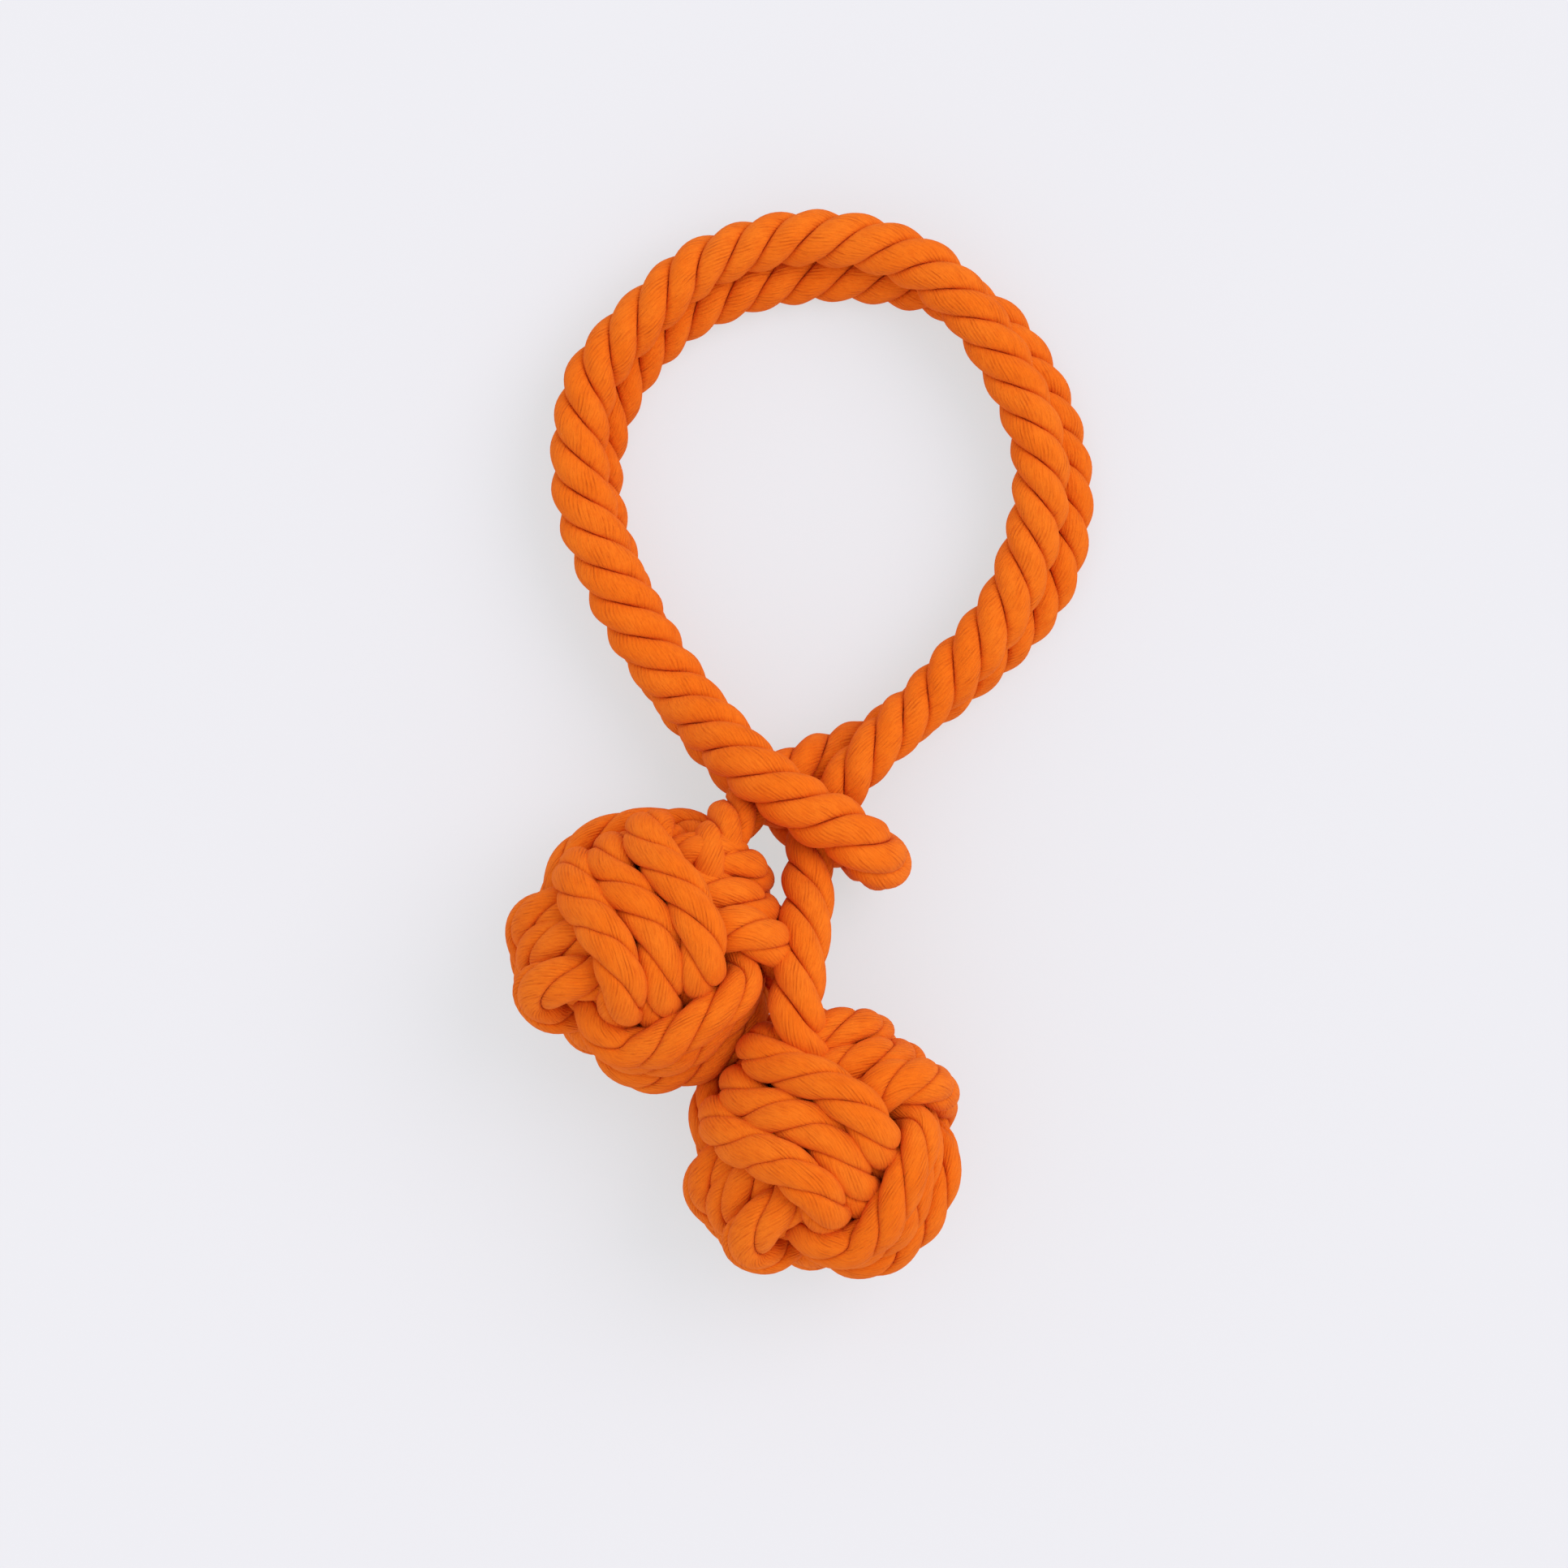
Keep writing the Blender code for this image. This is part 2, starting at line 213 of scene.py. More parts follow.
# Where the rope is cut into pieces.
RIGHT_NECK_CUT = (2.1, -31.9, 31.0)
RIGHT_SIDE_CUT = (48.6, 31.6, 18.4)
BIGHT_CUT = (20.7, -28.8, 23.0)
LEFT_LEG_CUT = (53.6, 29.6, 6.2)
LEFT_NECK_CUT = (-16.0, -17.4, 30.4)
ROPE_PIECES = (                       # from the right fist to the left, with the nodes that each stands for
    ("right_neck", ("right_fist_neck",)),
    ("right_leg", ("right_leg_rope",)),
    (
        "loop_upper_rope",
        ("right_side_upper_rope", "top_arc_upper_rope", "left_side_upper_rope", "eye_bight"),
    ),
    ("loop_lower_rope", ("left_side_lower_rope", "top_arc_lower_rope", "right_side_lower_rope")),
    ("left_leg", ("left_leg_rope",)),
    ("left_neck", ("left_fist_neck",)),
)
BLENDS = (                            # piece, bodies before and after, start and end of the blend in metres
    ("loop_upper_rope", "loop_base", "loop_top", (0, 0.052, 0.026), (0, 0.081, 0.026)),
    ("loop_lower_rope", "loop_base", "loop_top", (0, 0.052, 0.026), (0, 0.081, 0.026)),
    ("right_leg", "right_leg", "loop_base", (0.0021, -0.0319, 0.031), (0.0251, 0.006, 0.0214)),
    ("left_leg", "left_leg", "loop_base", (-0.0160, -0.0174, 0.0304), (0.0093, -0.0012, 0.0126)),
    ("right_neck", "right_fist", "right_leg", (0.0011, -0.0559, 0.0485), (0.0021, -0.0335, 0.032)),
    ("left_neck", "left_fist", "left_leg", (-0.0206, -0.0249, 0.0434), (-0.0160, -0.0174, 0.0304)),
)


# ---------------------------------------------------------------- lines

def smooth_line(points):
    """A Catmull-Rom curve through the points, as a close row of points."""
    p = np.array(points, float)
    p = np.vstack([2 * p[0] - p[1], p, 2 * p[-1] - p[-2]])
    t = np.arange(SPAN_POINTS)[:, None] / SPAN_POINTS
    spans = []
    for a, b, c, d in zip(p[:-3], p[1:-2], p[2:-1], p[3:]):
        cubic = -a + 3 * b - 3 * c + d
        square = 2 * a - 5 * b + 4 * c - d
        spans.append(0.5 * (2 * b + (c - a) * t + square * t**2 + cubic * t**3))
    return np.vstack([*spans, p[-2:-1]])


def distances_along(line):
    return np.concatenate([[0.0], np.cumsum(np.linalg.norm(np.diff(line, axis=0), axis=1))])


def evenly(line, step):
    """The line again with points about a step apart, and their distances along it."""
    along = distances_along(line)
    wanted = np.linspace(0, along[-1], int(round(along[-1] / step)) + 1)
    return np.stack([np.interp(wanted, along, line[:, k]) for k in range(3)], axis=1), wanted


def unit(v):
    return v / np.linalg.norm(v, axis=-1, keepdims=True)


def carried_frame(line):
    """Two normals at each point of an open line, carried along it without turning about it."""
    tangent = unit(np.gradient(line, axis=0))
    normals = [unit(np.cross(tangent[0], (0.0, 0.0, 1.0)))]
    for t in tangent[1:]:
        normals.append(unit(normals[-1] - t * np.dot(normals[-1], t)))
    normals = np.array(normals)
    return normals, np.cross(tangent, normals)


def outward_frame(line):
    """Two normals at each point of a closed line: across its band, and away from the fist's centre."""
    tangent = unit(np.roll(line, -1, axis=0) - np.roll(line, 1, axis=0))
    across = unit(np.cross(line, tangent))
    return across, np.cross(tangent, across)


# ---------------------------------------------------------------- strands

def strand_angles():
    """Where the points of a strand's section lie round it, from the outermost point."""
    outer = np.linspace(-OUTER_ARC, OUTER_ARC, OUTER_SIDES)
    inner = np.linspace(OUTER_ARC, 2 * pi - OUTER_ARC, INNER_SIDES + 2)[1:-1]
    return np.concatenate([outer, inner])


def strand_outline(offset):
    """One strand's section in a rope of radius 1, its middle that far from the axis: points x and y."""
    angle = strand_angles()
    reach = np.full(len(angle), STRAND_REACH - offset)
    for side in (1, -1):
        closing = 0.5 * side * np.sin(angle) - sin(pi / 3) * np.cos(angle)
        wall = (offset * sin(pi / 3) - STRAND_GAP) / np.maximum(closing, NO_ZERO)
        reach = (reach**-SHOULDER_SHARPNESS + wall**-SHOULDER_SHARPNESS) ** (-1 / SHOULDER_SHARPNESS)
    return offset + reach * np.cos(angle), reach * np.sin(angle)


def wander(along, seed, size, wavelength):
    """A smooth seeded wave of about that size and wavelength along the rope."""
    draw = np.random.default_rng(seed)
    total = np.zeros_like(along)
    for k in range(WANDER_WAVES):
        length = wavelength * (SHORTEST_WAVE + WAVE_STEP * k + WAVE_SPREAD * draw.random())
        total += np.sin(2 * pi * along / length + 2 * pi * draw.random())
    return size * total / 2


def closed_wander(count, seed, size):
    """A smooth seeded wave of about that size that closes on itself."""
    draw = np.random.default_rng(seed)
    angle = 2 * pi * np.arange(count) / count
    return size / 2 * sum(np.sin(k * angle + 2 * pi * draw.random()) for k in CLOSED_WAVES)


def strand_wander(along, number):
    """How a strand's depth and width vary along the rope."""
    varied = []
    for seed, size, wavelength in (DEPTH_WANDER, WIDTH_WANDER):
        varied.append(wander(along, seed + SEED_STEP * number, size, wavelength))
    return varied


def widened(rings, line, share):
    """The rings with their distance sideways from the line multiplied by the share at each ring."""
    level = np.cross(unit(np.gradient(line, axis=0)), (0.0, 0.0, 1.0))[:, None, :]
    sideways = ((rings - line[:, None, :]) * level).sum(-1)
    return rings + (sideways * (share - 1)[:, None])[..., None] * level


def strand_rings(line, across, out, half_width, half_depth, twist, offset, uneven):
    """Rings of one strand: an array of rings by sides by 3. uneven is how its depth and width vary."""
    x, y = strand_outline(offset)
    x = x[None, :] * (1 + uneven[0])[:, None]
    y = y[None, :] * (1 + uneven[1])[:, None]
    turned = twist[:, None]
    a = (x * np.cos(turned) - y * np.sin(turned)) * half_width[:, None]
    b = (x * np.sin(turned) + y * np.cos(turned)) * half_depth[:, None]
    return line[:, None, :] + a[..., None] * across[:, None, :] + b[..., None] * out[:, None, :]


def surface_normals(rings, closed):
    """The outward normal at every point of a strand's rings."""
    if closed:
        along = np.roll(rings, -1, axis=0) - np.roll(rings, 1, axis=0)
    else:
        along = np.gradient(rings, axis=0)
    around = np.roll(rings, -1, axis=1) - np.roll(rings, 1, axis=1)
    normals = unit(np.cross(around, along))
    outwards = rings - rings.mean(axis=1, keepdims=True)
    return normals * np.sign((normals * outwards).sum())


def quads(rows, sides, closed):
    """Corner numbers of the quads between rings, four to a row."""
    r = np.arange(rows if closed else rows - 1)[:, None]
    s = np.arange(sides)[None, :]
    r2, s2 = (r + 1) % rows, (s + 1) % sides
    corners = [r * sides + s, r * sides + s2, r2 * sides + s2, r2 * sides + s]
    return np.stack(corners, axis=-1).reshape(-1, 4)


def yarn_map(rows, sides, closed, angle, twist, along):
    """UVs at the quads' corners: turns round the strand, led by its twist, and metres along it."""
    turns = np.concatenate([angle, [angle[0] + 2 * pi]]) / (2 * pi)
    led = twist / (2 * pi) / (STRAND_REACH - ROPE_OFFSET)
    along = np.append(along, along[-1] + along[1] - along[0]) if closed else along
    led = np.append(led, 2 * led[-1] - led[-2]) if closed else led
    r = np.arange(rows if closed else rows - 1)[:, None]
    s = np.arange(sides)[None, :]
    here, there = led[r], led[r + 1]
    u = np.stack([turns[s] + here, turns[s + 1] + here, turns[s + 1] + there, turns[s] + there], -1)
    v = np.broadcast_to(np.stack([along[r], along[r], along[r + 1], along[r + 1]], -1), u.shape)
    return np.stack([u, v * MM], axis=-1).reshape(-1, 2)


def crease_shade_values(angle):
    """How much painted shade a strand gets where strands meet: 0 on its outer face, rising to 1 where it
    meets its neighbours.
    """
    from_outermost = np.abs((angle + pi) % (2 * pi) - pi)
    return np.clip((from_outermost - CREASE_START) / CREASE_SPAN, 0, 1)


def end_caps(start, rows, sides):
    """The two faces that close an open strand whose points begin at number start."""
    first = (start + np.arange(sides))[::-1]
    last = start + (rows - 1) * sides + np.arange(sides)
    return [first.tolist(), last.tolist()]


def rope_mesh(name, ropes, material):
    """One object of laid ropes, each given as (strands, closed, twist, distances along it).

    A strand is its rings and their normals.
    """
    angle = strand_angles()
    sides = len(angle)
    verts, normals, faces, uvs, crease_shades = [], [], [], [], []
    start = 0
    for strands, closed, twist, along in ropes:
        for rings, facing in strands:
            rows = len(rings)
            verts.append(rings.reshape(-1, 3))
            normals.append(facing.reshape(-1, 3))
            faces.extend((quads(rows, sides, closed) + start).tolist())
            uvs.append(yarn_map(rows, sides, closed, angle, twist, along))
            crease_shades.append(np.tile(crease_shade_values(angle), rows))
            if not closed:
                faces.extend(end_caps(start, rows, sides))
                uvs.append(np.zeros((2 * sides, 2)))
            start += rows * sides
    verts = np.vstack(verts)
    mesh = bpy.data.meshes.new(name)
    mesh.from_pydata((verts * MM).tolist(), [], faces)
    mesh.uv_layers.new(name="yarns").data.foreach_set("uv", np.vstack(uvs).astype(np.float32).ravel())
    # mask of the painted shade in the creases where strands meet
    crease_shade = mesh.attributes.new("crease_shade", "FLOAT", "POINT")
    crease_shade.data.foreach_set("value", np.concatenate(crease_shades).astype(np.float32))
    mesh.shade_smooth()
    mesh.materials.append(material)
    obj = bpy.data.objects.new(name, mesh)
    bpy.context.scene.collection.objects.link(obj)
    face_outwards(mesh, verts, np.vstack(normals), faces[0])
    return obj


def face_outwards(mesh, verts, normals, face):
    """Turns the faces the way the normals point, as one of them shows, and gives the mesh those normals."""
    a, b, c = (verts[k] for k in face[:3])
    if np.dot(np.cross(b - a, c - a), normals[face[0]]) < 0:
        mesh.flip_normals()
    mesh.normals_split_custom_set_from_vertices(normals.tolist())


# ---------------------------------------------------------------- the rope

def resting(rings, closed):
    """The rings pressed flat where they would go below the surface, with their normals."""
    rings = rings.copy()
    rings[..., 2] = np.maximum(rings[..., 2], REST_GAP)
    return rings, surface_normals(rings, closed)


def whole_rope():
    """The rope from the right fist to the left one: its line, distances along it, twist and strands."""
    line = smooth_line(RIGHT_TAIL + UPPER_ROUTE + LOWER_ROUTE[1:] + LEFT_TAIL)
    line, along = evenly(line, RING_STEP)
    across, out = carried_frame(line)
    half = np.interp(along, *zip(*THICKNESS))
    step = along[1] - along[0]
    twist = -np.cumsum(2 * pi * step / np.interp(along, *zip(*LAY)))
    twist = twist + wander(along, *TWIST_WANDER)
    share = np.interp(along, *zip(*WIDENED))
    strands = []
    for number in range(STRANDS):
        led = twist + number * 2 * pi / STRANDS
        uneven = strand_wander(along, number)
        rings = strand_rings(line, across, out, half, half, led, ROPE_OFFSET, uneven)
        strands.append(resting(widened(rings, line, share), False))
    return line, along, twist, strands


def nearest(line, spot, start=0, stop=None):
    """The number of the line's point nearest the spot, looking from start to stop."""
    return start + int(np.argmin(np.linalg.norm(line[start:stop] - np.array(spot), axis=1)))


def build_rope(material):
    """The rope's pieces by name, each with the path that it follows, in metres."""
    line, along, twist, strands = whole_rope()
    half = len(line) // 2
    at = [
        0,
        nearest(line, RIGHT_NECK_CUT, stop=half),
        nearest(line, RIGHT_SIDE_CUT, stop=half),
        nearest(line, BIGHT_CUT),
        nearest(line, LEFT_LEG_CUT, start=half),
        nearest(line, LEFT_NECK_CUT, start=half),
        len(line) - 1,
    ]
    pieces = {}
    for (name, replaced), first, last in zip(ROPE_PIECES, at, at[1:]):
        span = slice(first, last + 1)
        cut = [(rings[span], normals[span]) for rings, normals in strands]
        piece = rope_mesh(name, [(cut, False, twist[span], along[span])], material)
        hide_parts(*replaced)
        pieces[name] = piece, line[span] * MM
    return pieces


def hinge_rope(pieces):
    for name, before, after, start, end in BLENDS:
        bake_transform(pieces[name][0])


# ---------------------------------------------------------------- the fists

def fist_start():
    """Nine closed turns, square with round corners, three to a band, before they settle."""
    angle = 2 * pi * np.arange(TURN_POINTS) / TURN_POINTS
    c, s = np.cos(angle), np.sin(angle)
    reach = (np.abs(c) ** START_SQUARENESS + np.abs(s) ** START_SQUARENESS) ** (-1 / START_SQUARENESS)
    turns = []
    for _, inner, outer, across in BANDS:
        for number in range(FIST_TURNS):
            line = np.zeros((TURN_POINTS, 3))
            line[:, inner] = START_INNER * TURN_SPACING * reach * c
            line[:, outer] = START_OUTER * TURN_SPACING * reach * s
            line[:, across] = (number - 1) * TURN_SPACING
            turns.append(line)
    return np.array(turns)


def pushed_apart(points, same_turn):
    """The points moved off those of other turns that are too near, and out of the core."""
    apart = points[:, None, :] - points[None, :, :]
    out = points[:, None, :] + points[None, :, :]
    out /= np.sqrt((out**2).sum(-1))[:, :, None] + NO_ZERO
    depth = (apart * out).sum(-1)
    felt = np.sqrt((apart**2).sum(-1) + (TURN_SQUASH**2 - 1) * depth**2) + NO_ZERO
    push = np.clip(TURN_SPACING - felt, 0, None)
    push[same_turn] = 0
    moved = (apart * (push / felt)[:, :, None]).sum(1)
    points = points + PUSH * moved / np.maximum((push > 0).sum(1), 1)[:, None]
    radius = np.sqrt((points**2).sum(1))
    return points * np.maximum(1, FIST_CORE / radius)[:, None]


def settled(turns):
    """The turns pulled tight round the core and each other, closer in depth than side by side."""
    owner = np.repeat(np.arange(len(turns)), TURN_POINTS)
    same_turn = owner[:, None] == owner[None, :]
    for _ in range(RELAX_STEPS):
        middle = 0.5 * (np.roll(turns, 1, axis=1) + np.roll(turns, -1, axis=1))
        turns = turns + PULL * (middle - turns)
        for _ in range(PUSH_ROUNDS):
            turns = pushed_apart(turns.reshape(-1, 3), same_turn).reshape(turns.shape)
        eased = 0.25 * np.roll(turns, 1, axis=1) + 0.5 * turns + 0.25 * np.roll(turns, -1, axis=1)
        turns = (1 - EASE) * turns + EASE * eased
    return turns


def swirled(points):
    """The points turned about the fist's centre, one way at its faces and the other way at its corners."""
    radius = np.linalg.norm(points, axis=-1, keepdims=True)
    way = points / radius
    for _ in range(SWIRL_STEPS):
        way = unit(way + SWIRL / SWIRL_STEPS * np.cross(way**3, way))
    return way * radius


def lowered(points):
    """The points slid down the fist from its upper face, most at its girth."""
    radius = np.linalg.norm(points, axis=-1, keepdims=True)
    way = points / radius
    way[..., 2] -= GIRTH_DROP * np.hypot(way[..., 0], way[..., 1])
    return unit(way) * radius


def pinched(turns, axes, heading):
    """The turns drawn in or let out round the fist's outline, as uneven as on a hand-tied one."""
    level = turns @ axes
    reach = np.hypot(level[..., 0], level[..., 1])
    bearing = np.degrees(np.arctan2(level[..., 1], level[..., 0])) - heading
    scale = np.ones(reach.shape)
    for middle, spread, share in PINCHES:
        off = (bearing - middle + 180) % 360 - 180
        scale += share * np.exp(-(off / spread) ** 2) * np.minimum(reach / PINCH_REACH, 1)
    level[..., :2] *= scale[..., None]
    return level @ axes.T


def fist_frame(heading, lift):
    """Rows: the fist's lengthwise axis, the axis across it and the axis up through its upper face."""
    turn, rise = radians(heading), radians(lift)
    ahead = np.array([cos(turn) * cos(rise), sin(turn) * cos(rise), sin(rise)])
    beside = np.array([-sin(turn), cos(turn), 0.0])
    return np.array([ahead, beside, np.cross(ahead, beside)])


def closed_smooth(line):
    """A closed line again with points about a ring step apart, their distances along it, and its length."""
    spectrum = np.fft.rfft(line, axis=0)
    dense = np.fft.irfft(spectrum, DENSE_POINTS, axis=0) * DENSE_POINTS / len(line)
    loop = np.vstack([dense, dense[:1]])
    along = distances_along(loop)
    count = int(round(along[-1] / RING_STEP))
    wanted = np.arange(count) * along[-1] / count
    return np.stack([np.interp(wanted, along, loop[:, k]) for k in range(3)], axis=1), wanted, along[-1]


def turn_rope(line, seed):
    """The strands of one closed turn about the fist's centre."""
    line, along, length = closed_smooth(line)
    across, out = outward_frame(line)
    twists = round(length / FIST_LAY)
    twist = -2 * pi * twists * along / length + 2 * pi * np.random.default_rng(seed).random()
    half_width = TURN_HALF_WIDTH * (1 + closed_wander(len(line), seed + 1, TURN_WANDER))
    half_depth = TURN_HALF_DEPTH * (1 + closed_wander(len(line), seed + 2, TURN_WANDER))
    strands = []
    for number in range(STRANDS):
        first = seed + TURN_SEED_STEP * number
        uneven = [closed_wander(len(line), first + k, STRAND_WANDER) for k in (3, 4)]
        led = twist + number * 2 * pi / STRANDS
        strands.append(strand_rings(line, across, out, half_width, half_depth, led, FIST_OFFSET, uneven))
    return strands, True, twist, along


def band_ropes(turns, seed, axes, centre):
    """A band's turns as ropes, placed in the world."""
    ropes = []
    for number, line in enumerate(turns):
        strands, closed, twist, along = turn_rope(line, seed + number)
        placed = [resting(rings @ axes + centre, closed) for rings in strands]
        ropes.append((placed, closed, twist, along))
    return ropes


def build_fists(material):
    turns = lowered(swirled(settled(fist_start())))
    for name, x, y, heading, lift in FISTS:
        axes = fist_frame(heading, lift)
        centre = np.array([x, y, FIST_CENTRE_Z])
        shaped = pinched(turns, axes, heading).reshape(len(BANDS), FIST_TURNS, TURN_POINTS, 3)
        for number, (band, *_) in enumerate(BANDS):
            ropes = band_ropes(shaped[number], BAND_SEED_STEP * number, axes, centre)
            piece = rope_mesh(f"{name}_{band}_band", ropes, material)
            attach(piece, name)
            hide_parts(*(f"{name}_{band}_turn_{n + 1}" for n in range(FIST_TURNS)))


# ---------------------------------------------------------------- materials

class Nodes:
    """Short calls for building a material's nodes."""

    def __init__(self, name):
        self.material = bpy.data.materials.new(name)
        self.material.use_nodes = True
        self.tree = self.material.node_tree
        self.shader = self.tree.nodes["Principled BSDF"]

    def put(self, socket, value):
        if isinstance(value, bpy.types.NodeSocket):
            self.tree.links.new(value, socket)
        else:
            socket.default_value = value

    def add(self, kind, **inputs):
        node = self.tree.nodes.new(kind)
        for key, value in inputs.items():
            self.put(node.inputs[key.replace("_", " ")], value)
        return node

    def math(self, operation, a, b=0.0, clamp=False):
        node = self.tree.nodes.new("ShaderNodeMath")
        node.operation = operation
        node.use_clamp = clamp
        self.put(node.inputs[0], a)
        self.put(node.inputs[1], b)
        return node.outputs[0]

    def ramp(self, value, low, high):
        """0 at low, 1 at high, smooth between."""
        node = self.tree.nodes.new("ShaderNodeMapRange")
        node.interpolation_type = "SMOOTHSTEP"
        self.put(node.inputs["Value"], value)
        node.inputs["From Min"].default_value = low
        node.inputs["From Max"].default_value = high
        return node.outputs["Result"]

    def noise(self, vector, scale, detail=2.0, roughness=0.5):
        node = self.add(
            "ShaderNodeTexNoise", Vector=vector, Scale=scale, Detail=detail, Roughness=roughness
        )
        return node.outputs[0]

    def stretched(self, x, y, scale):
        """A place for a texture that is scaled apart along x and y."""
        x, y = (self.math("MULTIPLY", value, by) for value, by in zip((x, y), scale))
        return self.add("ShaderNodeCombineXYZ", X=x, Y=y).outputs[0]

    def mix(self, factor, a, b):
        node = self.tree.nodes.new("ShaderNodeMix")
        node.data_type = "RGBA"
        self.put(node.inputs["Factor"], factor)
        colours = [s for s in node.inputs if s.type == "RGBA"]
        self.put(colours[0], a)
        self.put(colours[1], b)
        return [s for s in node.outputs if s.type == "RGBA"][0]


def rope_material():
    """Dyed cotton: yarns that lie along the rope, loose fibres over them, with painted shade between the
    yarns, in the fibres' hollows and where strands meet.
    """
    n = Nodes("laid_cotton")
    split = n.add("ShaderNodeSeparateXYZ", Vector=n.add("ShaderNodeUVMap").outputs["UV"])
    turns, along = split.outputs["X"], split.outputs["Y"]
    wave = n.math("FRACT", n.math("MULTIPLY", turns, YARNS))
    hump = n.math("MULTIPLY", n.math("MULTIPLY", wave, n.math("SUBTRACT", 1.0, wave)), 4.0)
    patches = n.ramp(n.noise(n.stretched(turns, along, PATCH_SCALE), 1.0), *PATCH_EDGES)
    fibres = n.noise(n.stretched(turns, along, FIBRE_SCALE), 1.0, 3.0, 0.6)
    place = n.add("ShaderNodeTexCoord").outputs["Object"]
    fuzz = n.noise(place, FUZZ_SCALE, 2.0, 0.6)
    shade = n.noise(place, SHADE_SCALE, 3.0, 0.55)
    breaks = n.ramp(n.noise(place, CREASE_SCALE, 1.0), *CREASE_BREAKS)

    shown = n.math("ADD", YARN_LEAST, n.math("MULTIPLY", patches, 1 - YARN_LEAST))
    yarns = n.math("MULTIPLY", n.math("MULTIPLY", hump, shown), YARN_HEIGHT)
    height = n.math("ADD", yarns, n.math("MULTIPLY", fibres, FIBRE_HEIGHT))
    height = n.math("ADD", height, n.math("MULTIPLY", fuzz, FUZZ_HEIGHT))
    bump = n.add("ShaderNodeBump", Height=height, Strength=1.0, Distance=BUMP_DISTANCE)
    n.put(n.shader.inputs["Normal"], bump.outputs["Normal"])

    crease_shade = n.tree.nodes.new("ShaderNodeAttribute")
    crease_shade.attribute_name = "crease_shade"
    lit = n.mix(n.ramp(shade, *SHADE_EDGES), DEEP_COTTON, PALE_COTTON)
    # painted shade in the gaps between yarn humps and where the fibres' bump is low
    yarn_gap_shade = n.math("MULTIPLY", n.math("SUBTRACT", 1.0, hump), n.math("MULTIPLY", patches, YARN_GAP_SHADE))
    fibre_hollow_shade = n.math("MULTIPLY", n.ramp(fibres, *FIBRE_EDGES), FIBRE_HOLLOW_SHADE)
    colour = n.mix(n.math("ADD", yarn_gap_shade, fibre_hollow_shade, clamp=True), lit, GROOVE_SHADE_COTTON)
    # painted shade in the creases where strands meet, faded out in places by noise
    crease_shade_mask = n.math("MULTIPLY", n.ramp(crease_shade.outputs["Fac"], *CREASE_EDGES), breaks)
    n.put(n.shader.inputs["Base Color"], n.mix(crease_shade_mask, colour, CREASE_SHADE_COTTON))
    n.shader.inputs["Roughness"].default_value = ROPE_ROUGHNESS
    n.shader.inputs["Specular IOR Level"].default_value = ROPE_SPECULAR
    n.shader.inputs["Sheen Weight"].default_value = SHEEN
    n.shader.inputs["Sheen Roughness"].default_value = SHEEN_ROUGHNESS
    n.shader.inputs["Sheen Tint"].default_value = SHEEN_TINT
    return n.material


def core_material():
    """Tightly wound cotton, out of sight inside a fist."""
    n = Nodes("wound_cotton_core")
    place = n.add("ShaderNodeTexCoord").outputs["Object"]
    shade = n.ramp(n.noise(place, CORE_SCALE), *SHADE_EDGES)
    n.put(n.shader.inputs["Base Color"], n.mix(shade, DEEP_CORE, PALE_CORE))
    n.shader.inputs["Roughness"].default_value = CORE_ROUGHNESS
    n.shader.inputs["Specular IOR Level"].default_value = CORE_SPECULAR
    return n.material


# ---------------------------------------------------------------- stage

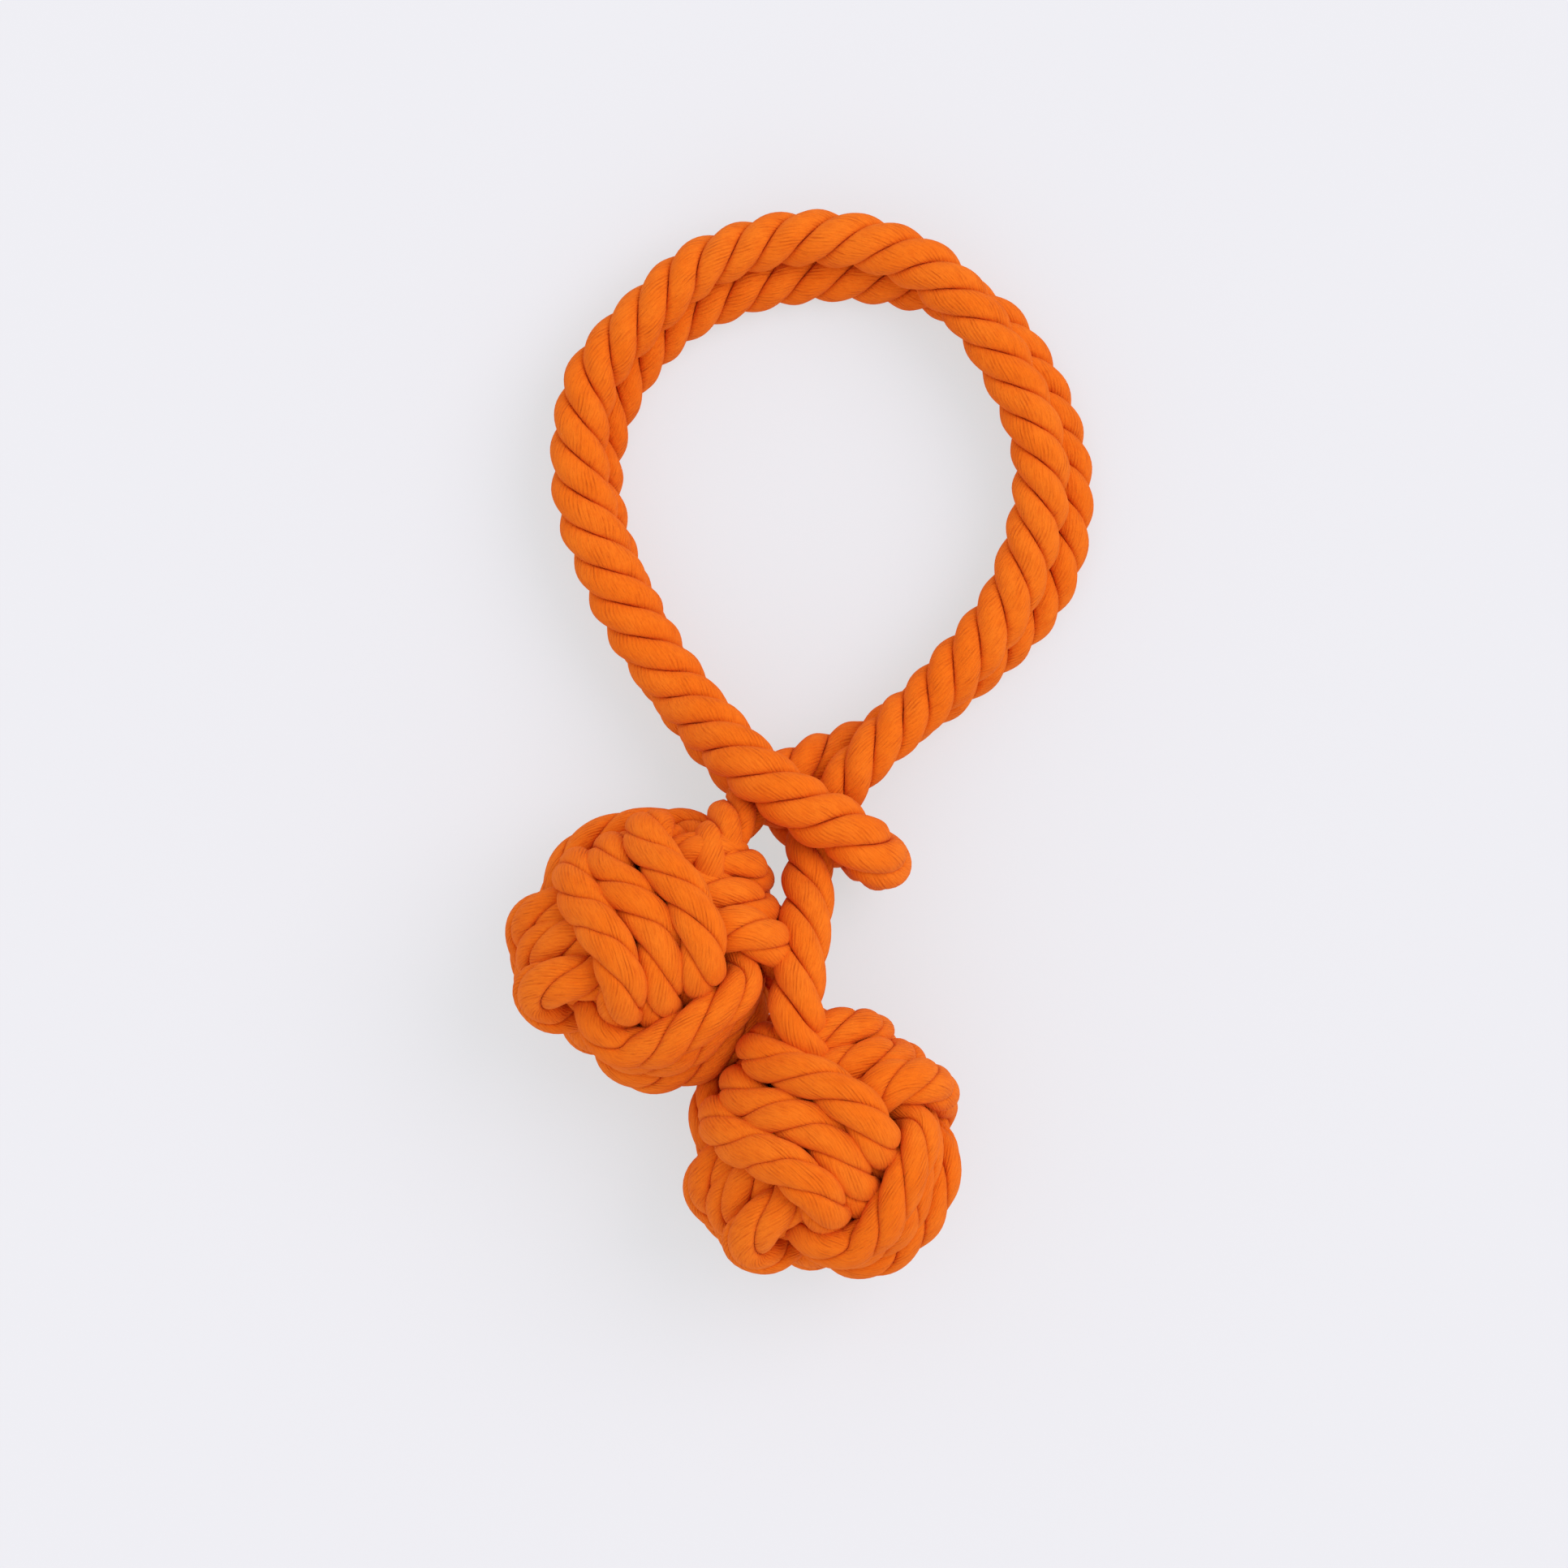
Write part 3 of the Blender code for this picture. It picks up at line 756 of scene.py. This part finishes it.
def floor():
    half = FLOOR_SIDE / 2 * MM
    corners = [(-half, -half, 0), (half, -half, 0), (half, half, 0), (-half, half, 0)]
    mesh = bpy.data.meshes.new("floor")
    mesh.from_pydata(corners, [], [(0, 1, 2, 3)])
    obj = bpy.data.objects.new("floor", mesh)
    bpy.context.scene.collection.objects.link(obj)
    material = bpy.data.materials.new("pale_floor")
    material.use_nodes = True
    shader = material.node_tree.nodes["Principled BSDF"]
    shader.inputs["Base Color"].default_value = FLOOR_COLOUR
    shader.inputs["Emission Color"].default_value = FLOOR_GLOW
    shader.inputs["Emission Strength"].default_value = 1.0
    shader.inputs["Roughness"].default_value = 1.0
    shader.inputs["Specular IOR Level"].default_value = 0.0
    mesh.materials.append(material)


def lights():
    world = bpy.data.worlds.new("studio")
    bpy.context.scene.world = world
    world.use_nodes = True
    sky = world.node_tree.nodes["Background"]
    sky.inputs["Color"].default_value = (1, 1, 1, 1)
    sky.inputs["Strength"].default_value = SKY_STRENGTH
    sun = bpy.data.lights.new("key", "SUN")
    sun.energy = SUN_STRENGTH
    sun.angle = SUN_WIDTH
    lamp = bpy.data.objects.new("key", sun)
    bpy.context.scene.collection.objects.link(lamp)
    lamp.rotation_euler = Vector(SUN_FROM).to_track_quat("Z", "Y").to_euler()
    bpy.context.scene.view_settings.view_transform = "Standard"


def camera():
    data = bpy.data.cameras.new("camera")
    data.sensor_width = SENSOR
    data.lens = SENSOR * CAMERA_HEIGHT / FRAME_SIDE
    data.clip_end = CAMERA_CLIP
    obj = bpy.data.objects.new("camera", data)
    obj.location = (FRAME_CENTRE[0] * MM, FRAME_CENTRE[1] * MM, (CAMERA_HEIGHT + REFERENCE_Z) * MM)
    bpy.context.scene.collection.objects.link(obj)
    bpy.context.scene.camera = obj


def dress_cores(nodes):
    material = core_material()
    for name, *_ in FISTS:
        for slot in nodes[f"{name}_core"].material_slots:
            slot.material = material


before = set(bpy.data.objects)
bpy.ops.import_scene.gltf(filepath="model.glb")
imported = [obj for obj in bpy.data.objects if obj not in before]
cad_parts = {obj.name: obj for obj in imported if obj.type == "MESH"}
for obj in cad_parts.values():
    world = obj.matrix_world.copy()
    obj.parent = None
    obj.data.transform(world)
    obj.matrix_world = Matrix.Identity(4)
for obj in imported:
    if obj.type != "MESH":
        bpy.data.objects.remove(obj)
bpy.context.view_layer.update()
camera()
lights()
floor()
cotton = rope_material()
pieces = build_rope(cotton)
hinge_rope(pieces)
build_fists(cotton)
dress_cores(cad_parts)
